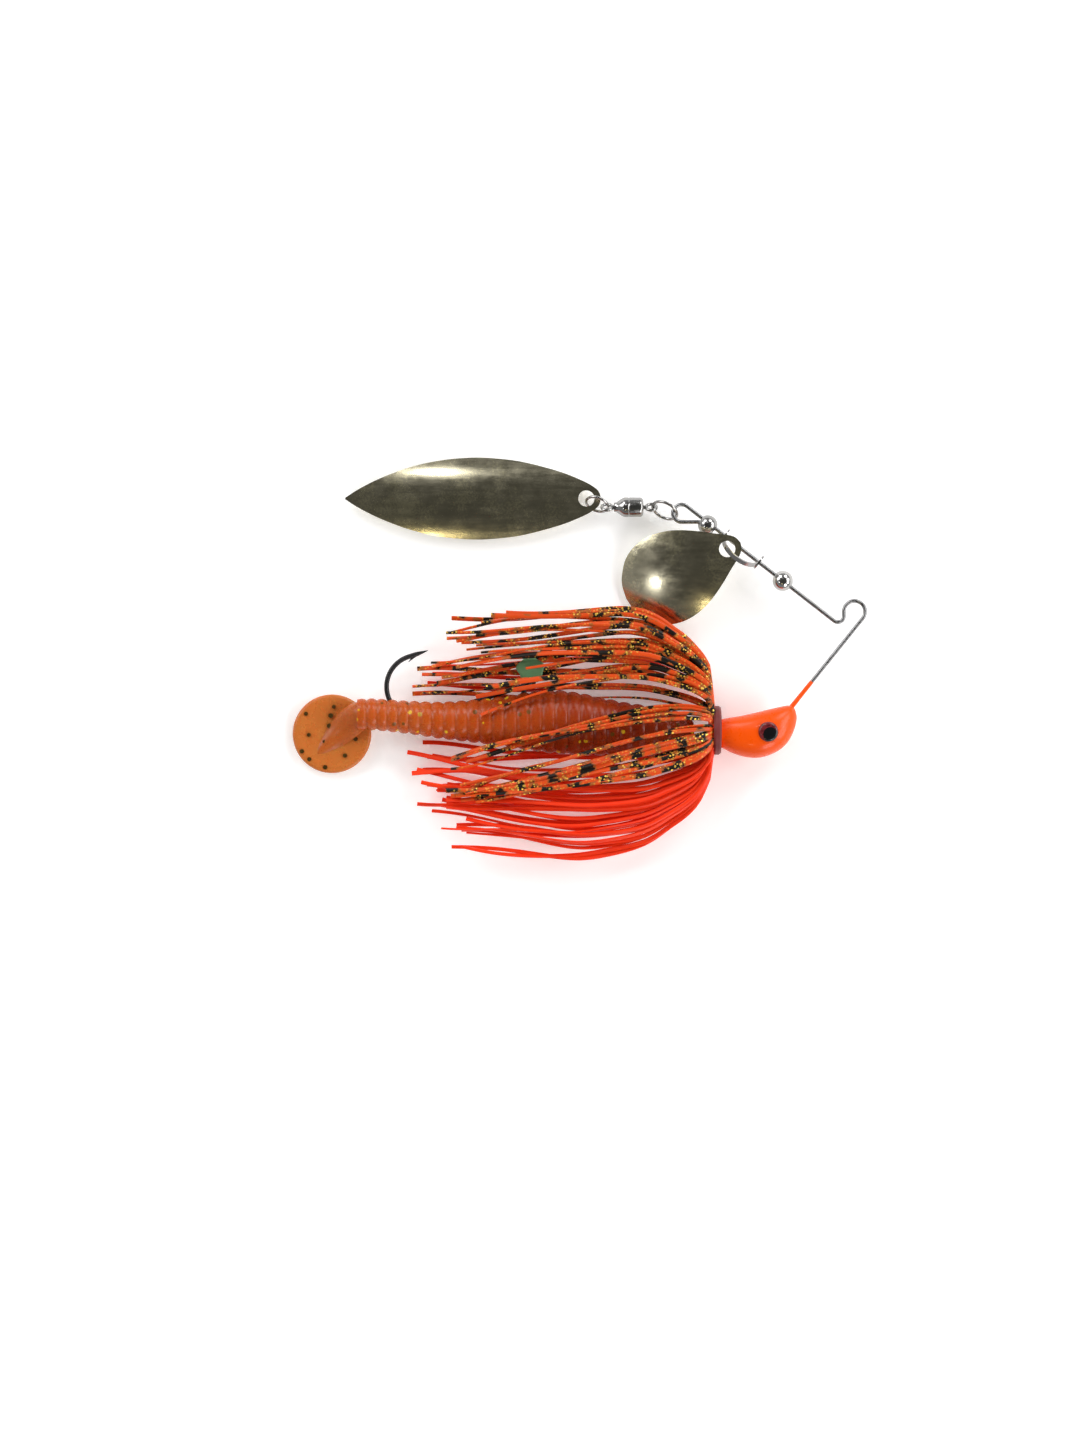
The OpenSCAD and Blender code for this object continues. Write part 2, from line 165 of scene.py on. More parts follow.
# ---- material helpers
class Finish:
    """A principled material with short calls for its nodes."""

    def __init__(self, name, **sockets):
        self.mat = bpy.data.materials.new(name)
        self.mat.use_nodes = True
        self.tree = self.mat.node_tree
        self.shader = self.tree.nodes["Principled BSDF"]
        for key, value in sockets.items():
            self.set(key.replace("_", " "), value)

    def set(self, socket, value):
        known = {i.name.lower(): i for i in self.shader.inputs}
        known[socket].default_value = value

    def node(self, kind, **values):
        n = self.tree.nodes.new("ShaderNode" + kind)
        for key, value in values.items():
            if hasattr(n, key):
                setattr(n, key, value)
            else:
                n.inputs[key.replace("_", " ")].default_value = value
        return n

    def link(self, a, b):
        self.tree.links.new(a, b)

    def place(self):
        return self.node("TexCoord").outputs["Object"]

    def noise(self, scale, detail=3.0, rough=0.5, vector=None):
        n = self.node("TexNoise")
        n.inputs["Scale"].default_value = scale
        n.inputs["Detail"].default_value = detail
        n.inputs["Roughness"].default_value = rough
        self.link(vector or self.place(), n.inputs["Vector"])
        return n.outputs["Fac"]

    def cells(self, scale, output="Distance"):
        n = self.node("TexVoronoi")
        n.inputs["Scale"].default_value = scale
        self.link(self.place(), n.inputs["Vector"])
        return n.outputs[output]

    def ramp(self, fac, stops):
        n = self.node("ValToRGB")
        r = n.color_ramp
        while len(r.elements) < len(stops):
            r.elements.new(0.5)
        for e, (pos, col) in zip(r.elements, stops):
            e.position = pos
            e.color = (*col, 1) if isinstance(col, tuple) else (col, col, col, 1)
        self.link(fac, n.inputs["Fac"])
        return n.outputs["Color"]

    def mix(self, fac, a, b):
        n = self.node("Mix", data_type="RGBA")
        for socket, value in ((n.inputs["Factor"], fac), (n.inputs[6], a), (n.inputs[7], b)):
            if isinstance(value, tuple):
                socket.default_value = (*value, 1)
            elif isinstance(value, (int, float)):
                socket.default_value = value
            else:
                self.link(value, socket)
        return n.outputs[2]

    def math(self, op, a, b=0.0):
        n = self.node("Math", operation=op)
        for socket, value in ((n.inputs[0], a), (n.inputs[1], b)):
            if isinstance(value, (int, float)):
                socket.default_value = value
            else:
                self.link(value, socket)
        return n.outputs[0]

    def times(self, a, b):
        return self.math("MULTIPLY", a, b)

    def attribute(self, name):
        return self.node("Attribute", attribute_name=name).outputs["Fac"]

    def vector(self, x, y=0.0, z=0.0):
        n = self.node("CombineXYZ")
        for socket, value in zip(n.inputs, (x, y, z)):
            if isinstance(value, (int, float)):
                socket.default_value = value
            else:
                self.link(value, socket)
        return n.outputs[0]

    def stretch(self, sx, sy, sz):
        n = self.node("Mapping")
        n.inputs["Scale"].default_value = (sx, sy, sz)
        self.link(self.place(), n.inputs["Vector"])
        return n.outputs[0]

    def colour(self, value):
        self.link(value, self.shader.inputs["Base Color"])

    def roughness(self, value):
        self.link(value, self.shader.inputs["Roughness"])

    def bump(self, height, strength, distance):
        n = self.node("Bump")
        n.inputs["Strength"].default_value = strength
        n.inputs["Distance"].default_value = distance
        self.link(height, n.inputs["Height"])
        self.link(n.outputs["Normal"], self.shader.inputs["Normal"])


def gold_plate():
    f = Finish("gold_plate", metallic=1.0)
    patches = f.noise(110, 3, 0.5)
    speckle = f.ramp(f.times(f.noise(2200, 6, 0.75), patches), [(0.26, 0.0), (0.33, 1.0)])
    tone = f.mix(f.noise(45, 3), (0.52, 0.48, 0.35), (0.64, 0.59, 0.43))
    f.colour(f.mix(f.times(speckle, 0.85), tone, (0.85, 0.78, 0.52)))
    drawn = f.noise(900, 5, 0.65, f.stretch(0.1, 1, 1))
    f.roughness(f.ramp(f.mix(0.5, drawn, f.noise(300, 5, 0.7)), [(0.35, 0.13), (0.65, 0.27)]))
    f.bump(f.mix(0.3, drawn, f.noise(1500, 5, 0.7)), 0.1, 0.00006)
    return f.mat


def nickel(name="nickel", dark=0.3, rough=0.12):
    f = Finish(name, metallic=1.0)
    deep = (dark, dark * 0.98, dark * 0.96)
    pale = (dark * 1.35, dark * 1.33, dark * 1.3)
    f.colour(f.mix(f.noise(500, 4), deep, pale))
    f.roughness(f.ramp(f.noise(2500, 4), [(0.3, rough), (0.7, rough + 0.14)]))
    f.bump(f.noise(3000, 3), 0.05, 0.00005)
    return f.mat


def spring_wire():
    f = Finish("spring_wire", metallic=1.0)
    f.colour(f.mix(f.noise(700, 4), (0.22, 0.22, 0.225), (0.36, 0.36, 0.36)))
    f.roughness(f.ramp(f.noise(1800, 4), [(0.3, 0.2), (0.7, 0.38)]))
    f.bump(f.noise(5000, 2), 0.1, 0.00004)
    return f.mat


def black_nickel():
    f = Finish("black_nickel", metallic=0.6)
    f.colour(f.mix(f.noise(600, 4), (0.008, 0.008, 0.009), (0.035, 0.034, 0.034)))
    f.roughness(f.ramp(f.noise(1500, 4), [(0.3, 0.22), (0.7, 0.4)]))
    return f.mat


def head_paint():
    f = Finish("head_paint", coat_weight=0.12, coat_roughness=0.06, specular_ior_level=0.25)
    f.colour(f.mix(f.noise(180, 3), (0.86, 0.072, 0.001), (0.91, 0.095, 0.001)))
    f.roughness(f.ramp(f.noise(900, 3), [(0.3, 0.25), (0.7, 0.36)]))
    f.bump(f.noise(350, 2), 0.05, 0.0002)
    return f.mat


def collar_rubber():
    f = Finish("collar_rubber", coat_weight=0.1, coat_roughness=0.3, specular_ior_level=0.3)
    f.colour(f.mix(f.noise(500, 4), (0.12, 0.018, 0.018), (0.22, 0.04, 0.038)))
    f.roughness(f.ramp(f.noise(900, 3), [(0.3, 0.38), (0.7, 0.55)]))
    f.bump(f.noise(1200, 4), 0.25, 0.0002)
    return f.mat


def eye_finish():
    f = Finish("eye_finish", coat_weight=0.4, coat_roughness=0.08, specular_ior_level=0.3)
    glitter = f.cells(2600, output="Color")
    iris = f.mix(glitter, (0.04, 0.003, 0.006), (0.26, 0.026, 0.03))
    outside = f.ramp(f.attribute("pupil"), [(0.48, 0.0), (0.52, 1.0)])
    f.colour(f.mix(outside, (0.004, 0.004, 0.005), iris))
    f.roughness(f.ramp(f.noise(900, 3), [(0.3, 0.2), (0.7, 0.3)]))
    return f.mat


def strand_finish(name, patterned):
    """Silicone: plain, or with black bars, clear brown edges to them and patches of gold glitter."""
    f = Finish(name, coat_weight=0.04, coat_roughness=0.18, specular_ior_level=0.22, subsurface_weight=0.08,
               subsurface_scale=0.0008)
    along = f.attribute("along")
    seed = f.attribute("seed")
    lane = f.attribute("lane")
    if patterned:
        base = f.mix(f.noise(160, 2), (0.6, 0.052, 0.006), (0.76, 0.092, 0.012))
        spot = f.vector(f.times(along, 0.27), f.times(seed, 9.0), f.times(lane, 0.12))
        ragged = f.math("ADD", f.noise(1.0, 2, 0.5, spot), f.times(f.noise(2600, 2), 0.1))
        bars = f.ramp(ragged, [(0.6, 0.0), (0.615, 1.0)])
        clear = f.ramp(ragged, [(0.545, 0.0), (0.56, 1.0)])
        body = f.mix(f.times(clear, 0.8), base, (0.3, 0.1, 0.02))
        shade = f.mix(bars, body, (0.01, 0.007, 0.005))
        flake = f.ramp(f.cells(1500), [(0.3, 1.0), (0.36, 0.0)])
        patch = f.vector(f.times(along, 0.12), f.times(seed, 6.0))
        where = f.ramp(f.noise(1.0, 2, 0.5, patch), [(0.44, 0.0), (0.5, 1.0)])
        glint = f.times(flake, f.times(where, f.math("MAXIMUM", clear, 0.35)))
        f.colour(f.mix(glint, shade, (1.0, 0.62, 0.1)))
        f.link(f.times(glint, 0.7), f.shader.inputs["Metallic"])
    else:
        tone = f.noise(0.12, 2, 0.5, f.vector(along, f.times(seed, 60.0)))
        f.colour(f.mix(tone, (0.8, 0.026, 0.005), (0.96, 0.055, 0.009)))
    f.roughness(f.ramp(f.noise(700, 3), [(0.3, 0.3), (0.7, 0.45)]))
    f.bump(f.noise(900, 3), 0.12, 0.0001)
    return f.mat


FLAKE_CELLS = 430


def soft_plastic():
    f = Finish("soft_plastic", coat_weight=0.06, coat_roughness=0.25, ior=1.42, specular_ior_level=0.25,
               transmission_weight=0.22, subsurface_weight=0.25, subsurface_scale=0.003)
    deep = f.attribute("deep")
    tail_tone, neck_tone, body_tone = (0.62, 0.2, 0.04), (0.53, 0.085, 0.008), (0.3, 0.024, 0.003)
    tone = f.ramp(deep, [(0.0, tail_tone), (0.35, neck_tone), (1.0, body_tone)])
    haze = f.ramp(f.noise(220, 4), [(0.35, 0.0), (0.7, 0.22)])
    cloudy = f.mix(haze, tone, (0.66, 0.11, 0.016))
    pick = f.cells(FLAKE_CELLS, "Color")
    spots = f.ramp(f.cells(FLAKE_CELLS), [(0.21, 1.0), (0.24, 0.0)])
    flake = f.times(spots, f.ramp(pick, [(0.44, 0.0), (0.46, 1.0)]))
    brown, gold = (0.16, 0.07, 0.006), (0.95, 0.62, 0.02)
    glitter = f.mix(f.ramp(pick, [(0.6, 0.0), (0.62, 1.0)]), brown, gold)
    off_the_tail = f.ramp(deep, [(0.22, 0.0), (0.3, 0.9)])
    f.colour(f.mix(f.times(flake, off_the_tail), cloudy, glitter))
    f.roughness(f.ramp(f.noise(600, 3), [(0.3, 0.2), (0.7, 0.34)]))
    f.bump(f.noise(500, 3), 0.15, 0.0002)
    return f.mat


def keeper_rubber():
    f = Finish("keeper_rubber", coat_weight=0.2, coat_roughness=0.3)
    f.colour(f.mix(f.noise(350, 4), (0.1, 0.26, 0.11), (0.2, 0.45, 0.22)))
    f.roughness(f.ramp(f.noise(700, 3), [(0.3, 0.4), (0.7, 0.55)]))
    f.bump(f.noise(900, 4), 0.3, 0.0002)
    return f.mat


def flake_finish():
    f = Finish("tail_flake", metallic=0.3)
    f.colour(f.mix(f.noise(900, 2), (0.02, 0.012, 0.002), (0.12, 0.07, 0.01)))
    f.roughness(f.ramp(f.noise(900, 2), [(0.3, 0.2), (0.7, 0.35)]))
    return f.mat


def floor_finish():
    f = Finish("floor", roughness=0.7, emission_color=(1, 1, 1, 1), emission_strength=0.25)
    f.colour(f.mix(f.noise(3, 2), (0.93, 0.93, 0.93), (0.95, 0.95, 0.95)))
    return f.mat


# ---- mesh helpers
def mesh_object(name, points, faces, material, smooth=True, attributes=None):
    mesh = bpy.data.meshes.new(name)
    mesh.from_pydata([p[:] for p in points], [], faces)
    for key, values in (attributes or {}).items():
        mesh.attributes.new(key, "FLOAT", "POINT").data.foreach_set("value", values)
    bm = bmesh.new()
    bm.from_mesh(mesh)
    bmesh.ops.recalc_face_normals(bm, faces=bm.faces)
    bm.to_mesh(mesh)
    bm.free()
    for p in mesh.polygons:
        p.use_smooth = smooth
    mesh.materials.append(material)
    obj = bpy.data.objects.new(name, mesh)
    bpy.context.scene.collection.objects.link(obj)
    return obj


def apply_modifiers(obj):
    bpy.context.view_layer.update()
    mesh = bpy.data.meshes.new_from_object(obj.evaluated_get(bpy.context.evaluated_depsgraph_get()))
    obj.modifiers.clear()
    obj.data = mesh


def refine(obj, levels):
    obj.modifiers.new("subdivision", "SUBSURF").levels = levels
    apply_modifiers(obj)
    for p in obj.data.polygons:
        p.use_smooth = True


def sharpen(obj, angle=40):
    """Keeps real corners crisp on a smooth-shaded mesh."""
    bm = bmesh.new()
    bm.from_mesh(obj.data)
    limit = math.radians(angle)
    for e in bm.edges:
        e.smooth = len(e.link_faces) == 2 and e.calc_face_angle(0) < limit
    bm.to_mesh(obj.data)
    bm.free()


def skin(rings):
    """Points and faces of a skin over rings of points, with capped ends."""
    n = len(rings[0])
    points = [p for r in rings for p in r]
    faces = []
    for i in range(len(rings) - 1):
        for j in range(n):
            k = (j + 1) % n
            faces.append((i * n + j, i * n + k, (i + 1) * n + k, (i + 1) * n + j))
    faces.append(tuple(range(n)))
    faces.append(tuple((len(rings) - 1) * n + j for j in reversed(range(n))))
    return points, faces


def frames(path):
    """A tangent, side and up vector at each point of a path, turned as little as possible."""
    out = []
    up = Vector((0, 0, 1))
    for i in range(len(path)):
        t = (path[min(i + 1, len(path) - 1)] - path[max(i - 1, 0)]).normalized()
        side = t.cross(up)
        if side.length < 1e-6:
            side = t.cross(Vector((0, 1, 0)))
        side.normalize()
        up = side.cross(t).normalized()
        out.append((t, side, up))
    return out


def tube(name, path, radius, material, sides=16):
    radii = radius if isinstance(radius, list) else [radius] * len(path)
    rings = []
    for p, r, (_, side, up) in zip(path, radii, frames(path)):
        rings.append([p + r * (math.cos(TAU * j / sides) * side + math.sin(TAU * j / sides) * up)
                      for j in range(sides)])
    obj = mesh_object(name, *skin(rings), material)
    sharpen(obj)
    return obj


BEND_PITCH = 0.25
STRAIGHT_PITCH = 1.5


def walk(start, heading, steps, z):
    """Points along a bent wire: (length,) goes straight, (radius, turn) bends left, or right if turn < 0."""
    x, y, a = start[0], start[1], math.radians(heading)
    path = [mm(x, y, z)]
    for step in steps:
        turn = math.radians(step[1]) if len(step) == 2 else 0
        length = step[0] * abs(turn) if turn else step[0]
        count = max(1, round(length / (BEND_PITCH if turn else STRAIGHT_PITCH)))
        for _ in range(count):
            half = turn / count / 2
            chord = 2 * step[0] * math.sin(abs(half)) if turn else length / count
            a += half
            x += chord * math.cos(a)
            y += chord * math.sin(a)
            a += half
            path.append(mm(x, y, z))
    return path


def lathe(name, profile, origin, axis, material, sides=64, angle=35):
    """Turns a closed profile of (place along the axis, radius) about the axis."""
    axis = Vector(axis).normalized()
    side = axis.orthogonal().normalized()
    up = axis.cross(side)
    spokes = [math.cos(TAU * j / sides) * side + math.sin(TAU * j / sides) * up for j in range(sides)]
    points = [origin + (a * axis + r * spoke) * MM for spoke in spokes for a, r in profile]
    n = len(profile)
    faces = [(j * n + i, j * n + (i + 1) % n, (j + 1) % sides * n + (i + 1) % n, (j + 1) % sides * n + i)
             for j in range(sides) for i in range(n)]
    obj = mesh_object(name, points, faces, material)
    sharpen(obj, angle)
    return obj


def curve(rows, x):
    """A smooth curve through rows of (place, value)."""
    if x <= rows[0][0]:
        return rows[0][1]
    if x >= rows[-1][0]:
        return rows[-1][1]
    i = max(k for k in range(len(rows) - 1) if rows[k][0] <= x)

    def slope(k):
        a, b = rows[max(k - 1, 0)], rows[min(k + 1, len(rows) - 1)]
        return (b[1] - a[1]) / (b[0] - a[0])
    (x0, y0), (x1, y1) = rows[i], rows[i + 1]
    h = x1 - x0
    t = (x - x0) / h
    return (y0 * (2 * t**3 - 3 * t**2 + 1) + slope(i) * h * (t**3 - 2 * t**2 + t)
            + y1 * (3 * t**2 - 2 * t**3) + slope(i + 1) * h * (t**3 - t**2))


def powered(value, power):
    """A power that keeps the value's sign."""
    return math.copysign(abs(value) ** power, value)


def stand_for(piece, body, slot, *nodes):
    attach(piece, body)
    if nodes:
        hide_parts(*nodes)
    return piece


# ---- wire arm and hooks
ARM_FOOT = (46.06, -12.92)
LEG_HEADING = 51.2
ARM_HEADING = 142.1
ARM_STEPS = [(27.5,), (2.36, 270 - LEG_HEADING), (1,), (1.35, ARM_HEADING - 270), (41.4,),
             (1.94, 360 - ARM_HEADING), (3.77,), (1.2, ARM_HEADING - 180), (0.9,)]
SLEEVE_LENGTH = 9.4
SLEEVE_RINGS = 24


def wire_arm(steel, paint):
    path = walk(ARM_FOOT, LEG_HEADING, ARM_STEPS, PLANE)
    stand_for(tube("wire_arm_wire", path, WIRE_R * MM, steel, 20), "root", "wire", "wire_arm")
    leg = walk(ARM_FOOT, LEG_HEADING, [(SLEEVE_LENGTH,)], PLANE)
    sleeve = [leg[0].lerp(leg[-1], i / SLEEVE_RINGS) for i in range(SLEEVE_RINGS + 1)]
    rng = random.Random(5)
    radii = []
    for i in range(SLEEVE_RINGS):
        coat = 0.03 + 0.12 * (1 - i / SLEEVE_RINGS) ** 2 + 0.02 * rng.random()
        radii.append((WIRE_R + coat) * MM)
    radii.append((WIRE_R + 0.005) * MM)
    stand_for(tube("wire_paint", sleeve, radii, paint, 20), "root", "head_paint")


def hook(name, start, heading, steps, wire_r, point_len, finish, node, eye_r=0):
    """Shank and bend as one tube that tapers to the point, a raised barb, and an eye before the shank."""
    path = walk(start, heading, steps, PLANE)
    radii = [wire_r * MM] * len(path)
    end = (path[-1] - path[-2]).normalized()
    last = path[-1]
    for i in range(1, 13):
        t = i / 12
        path.append(last + end * point_len * t * MM)
        radii.append(wire_r * (1 - 0.93 * t ** 1.6) * MM)
    parts = [tube(name, path, radii, finish, 16)]
    inward = Vector((-end.y, end.x, 0)) * (1 if steps[1][1] > 0 else -1)
    root = last + end * 0.3 * MM
    barb = [root + inward * wire_r * 0.5 * MM, root - end * 0.9 * MM + inward * wire_r * 1.1 * MM,
            root - end * 1.9 * MM + inward * wire_r * 2.1 * MM]
    parts.append(tube(name + "_barb", barb, [0.3 * MM, 0.24 * MM, 0.04 * MM], finish, 10))
    if eye_r:
        a = math.radians(heading + 180)
        ahead = Vector((math.cos(a), math.sin(a), 0))
        centre = path[0] + ahead * eye_r * MM
        above = Vector((0, 0, 1))
        ring = [centre + (math.cos(TAU * i / 40) * -ahead + math.sin(TAU * i / 40) * above) * eye_r * MM
                for i in range(39)]
        parts.append(tube(name + "_eye", ring, (wire_r - 0.05) * MM, finish, 14))
    for i, part in enumerate(parts):
        stand_for(part, "root", "black_hook", *([node] if i == 0 else []))


# ---- head and eyes
def head(paint):
    top = [(31.7, -13.9), (34, -13.5), (36.7, -13.05), (42, -11.8), (45, -11.1), (46.6, -10.8),
           (47.7, -11.0), (48.3, -11.8), (48.62, -13.2)]
    bottom = [(31.7, -20.2), (34, -21.4), (37, -22.4), (40.2, -22.65), (42.6, -22.0), (44.8, -20.9),
              (46.6, -19.2), (47.8, -17), (48.4, -15.2), (48.62, -13.9)]
    thick = [(31.7, 3.1), (34, 3.5), (37, 4.2), (40, 4.55), (43, 4.45), (45.5, 3.6), (47.3, 2.3),
             (48.2, 1.3), (48.62, 0.45)]
    stations = [31.7, 31.75, 32.2, 33, 34.5, 36, 38, 40, 42, 44, 45.5, 46.6, 47.4, 48, 48.35, 48.55, 48.62]
    rings = []
    sides = 28
    squareness = 2 / 2.3
    for x in stations:
        hi, lo, t = curve(top, x), curve(bottom, x), curve(thick, x)
        mid, half = (hi + lo) / 2, (hi - lo) / 2
        ring = []
        for j in range(sides):
            across = powered(math.cos(TAU * j / sides), squareness)
            above = powered(math.sin(TAU * j / sides), squareness)
            ring.append(mm(x, mid + half * across, PLANE + t * above))
        rings.append(ring)
    obj = mesh_object("painted_head", *skin(rings), paint)
    refine(obj, 2)
    stand_for(obj, "root", "head_paint", "head")


def eyes(finish):
    for side, node in ((1, "near_eye"), (-1, "far_eye")):
        lo, hi = low(node), high(node)
        cx, cy = (lo[0] + hi[0]) / 2, (lo[1] + hi[1]) / 2
        edge = hi[2] if side > 0 else lo[2]
        r = (hi[0] - lo[0]) / 2
        rows, sides = 14, 48
        rings = []
        for i in range(rows + 1):
            t = i / rows
            z = edge - side * (0.22 * t ** 2 + 0.33 * t ** 12)
            reach = r * (t if i else 0.02 / rows)
            rings.append([mm(cx + reach * math.cos(TAU * j / sides),
                             cy + reach * math.sin(TAU * j / sides), z) for j in range(sides)])
        rings.append([Vector((p.x, p.y, (edge - side * 1.0) * MM)) for p in rings[-1]])
        points, faces = skin(rings)
        pupil_x, pupil_y = cx + 0.44, cy - 0.6
        pupil = [math.hypot(p.x / MM - pupil_x, p.y / MM - pupil_y) / (r * 1.5) for p in points]
        obj = mesh_object(node + "_dome", points, faces, finish, attributes={"pupil": pupil})
        sharpen(obj)
        stand_for(obj, "root", "eye", node)


# ---- skirt: distances s are behind the collar's back face, spreads are shares of the flare, rises are in mm
FLARE = 28.2
SPREAD_UP = [(-1.7, 0.16), (0, 0.19), (0.25, 0.33), (0.6, 0.46), (1.7, 0.56), (3.3, 0.64), (6.1, 0.745),
             (8.9, 0.82), (12, 0.9), (16, 0.965), (22, 0.995), (50, 0.985), (80, 0.93)]
SPREAD_DOWN = [(-1.7, 0.16), (0, 0.19), (0.3, 0.24), (0.7, 0.32), (1.2, 0.4), (4, 0.6), (10, 0.78),
               (15.6, 0.9), (25, 0.98), (31, 1), (39, 0.98), (57, 0.9), (80, 0.78)]
RISE = [(-1.7, 4.2), (0, 4.6), (0.8, 5.8), (2, 6.6), (4, 7.4), (12, 8.2), (30, 8.4), (50, 7.4), (72, 5.6)]
DROP = [(-1.7, 4.2), (0, 4.5), (0.8, 4.8), (2, 5.0), (10, 5.05), (80, 5.05)]
COLLAR_START = -1.7
RELEASE = 1.0
ROOT_R = 4.3
FLOOR_CLEAR = 0.6


def strand_path(rng, k, lift, length, drift):
    """One strand: k is its place across the bell from -1 to 1, lift its height from -1 (under) to 1."""
    path = []
    s, gone = COLLAR_START, 0.0
    wave = rng.uniform(0, TAU)
    sway = rng.uniform(0.4, 1.5)
    bow = rng.uniform(1.1, 1.5)
    turn = math.atan2(lift, k)
    while gone < length:
        w = max(0.0, s) / 60
        across = k + drift * w ** bow
        spread = curve(SPREAD_UP if across > 0 else SPREAD_DOWN, s)
        y = BODY_Y + FLARE * spread * across + sway * w * math.sin(wave + s / 8)
        z = PLANE + lift * curve(RISE if lift > 0 else DROP, s) + 0.5 * sway * w * math.cos(wave + s / 7)
        if s < RELEASE:
            t = ((s - COLLAR_START) / (RELEASE - COLLAR_START)) ** 2
            y += (BODY_Y + ROOT_R * math.cos(turn) - y) * (1 - t)
            z += (PLANE + ROOT_R * math.sin(turn) - z) * (1 - t)
        p = mm(COLLAR_BACK - s, y, max(z, FLOOR_CLEAR))
        if path:
            gone += (p - path[-1]).length / MM
        path.append(p)
        s += 0.2 if s < 3 else 1.1
    return path


def ribbons(name, strands, material, seed):
    """Many flat strands in one mesh, each with its distance along, its place across and its own number."""
    rng = random.Random(seed)
    section = [(-1, -0.55), (-0.7, -1), (0.7, -1), (1, -0.55), (1, 0.55), (0.7, 1), (-0.7, 1), (-1, 0.55)]
    points, faces, along, lane, number = [], [], [], [], []
    for k, path in strands:
        own = k + rng.uniform(-0.05, 0.05)
        wide = rng.uniform(0.42, 0.55)
        thin = rng.uniform(0.2, 0.28)
        twist = rng.uniform(-0.5, 0.5)
        rate = rng.uniform(-0.012, 0.012)
        rings, gone = [], 0.0
        for i, (p, (_, side, up)) in enumerate(zip(path, frames(path))):
            gone += (p - path[i - 1]).length / MM if i else 0
            a = twist + rate * gone * 3
            across = math.cos(a) * side + math.sin(a) * up
            over = -math.sin(a) * side + math.cos(a) * up
            rings.append([p + (u * wide * across + v * thin * over) * MM for u, v in section])
            for u, _ in section:
                along.append(gone)
                lane.append(u)
                number.append(own)
        pts, fcs = skin(rings)
        base = len(points)
        points += pts
        faces += [tuple(base + i for i in f) for f in fcs]
    obj = mesh_object(name, points, faces, material,
                      attributes={"along": along, "lane": lane, "seed": number})
    sharpen(obj, 50)
    return obj


def skirt(patterned, plain):
    rng = random.Random(11)

    def bunch(count, start, drift, lift, length):
        """Strands side by side: first and last place and drift, and the ranges of lift and length."""
        out = []
        for i in range(count):
            u = (i + 0.5) / count
            k = start[0] + (start[1] - start[0]) * u + rng.uniform(-0.02, 0.02)
            k = max(-0.99, min(0.99, k))
            lean = drift[0] + (drift[1] - drift[0]) * u + rng.uniform(-0.05, 0.05)
            height = math.sqrt(1 - k * k) * rng.uniform(*lift)
            out.append((k, strand_path(rng, k, height, rng.uniform(*length), lean)))
        return out

    upper = bunch(10, (0.64, 0.99), (-0.14, -0.01), (0.45, 1.0), (60, 73))
    upper += bunch(8, (0.72, 0.99), (-0.42, -0.02), (-0.5, 0.5), (64, 73))
    upper += bunch(7, (0.22, 0.66), (0.06, -0.12), (-0.55, -0.05), (67, 71))
    upper += bunch(4, (0.4, 0.76), (-0.1, -0.3), (0.5, 0.95), (44, 58))
    front = bunch(4, (0.3, 0.16), (-0.6, -0.46), (0.66, 0.8), (58, 63))
    front += bunch(8, (0.1, -0.3), (-0.66, -0.3), (0.68, 0.85), (56, 64))
    front += bunch(3, (-0.22, -0.42), (-0.34, -0.2), (0.7, 0.9), (44, 60))
    front += bunch(2, (0.5, 0.62), (-0.5, -0.4), (0.8, 0.9), (56, 62))
    lower = bunch(12, (-0.99, -0.5), (0.02, 0.06), (0.3, 0.95), (65, 71))
    lower += bunch(12, (-0.96, -0.4), (0.0, 0.1), (-0.6, 0.2), (66, 73))
    lower += bunch(1, (-0.99, -0.99), (-0.04, -0.04), (0.2, 0.3), (71, 72))
    back = bunch(3, (0.3, 0.62), (0.0, -0.1), (-1.0, -0.85), (67, 70))
    back += bunch(11, (-0.8, -0.1), (0.1, -0.04), (-1.0, -0.85), (63, 69))
    # the strands' roots, packed between the collar and the neck
    ring = [(-1.55, 2.7), (-1.62, 3.4), (-1.55, 4.1), (-1.3, 4.4), (0.3, 4.4), (0.9, 3.9), (0.3, 2.7)]
    roots = lathe("strand_roots", ring, mm(COLLAR_BACK, BODY_Y, PLANE), (-1, 0, 0), plain)
    stand_for(roots, "root", "plain_silicone")
    for name, strands, finish, slot, node in (
            ("upper_strands", upper, patterned, "patterned_silicone", "skirt_upper_tab"),
            ("front_strands", front, patterned, "patterned_silicone", "skirt_front_tab"),
            ("lower_strands", lower, plain, "plain_silicone", "skirt_lower_tab"),
            ("back_strands", back, plain, "plain_silicone", "skirt_back_tab")):
        stand_for(ribbons(name, strands, finish, len(name)), "root", slot, node)


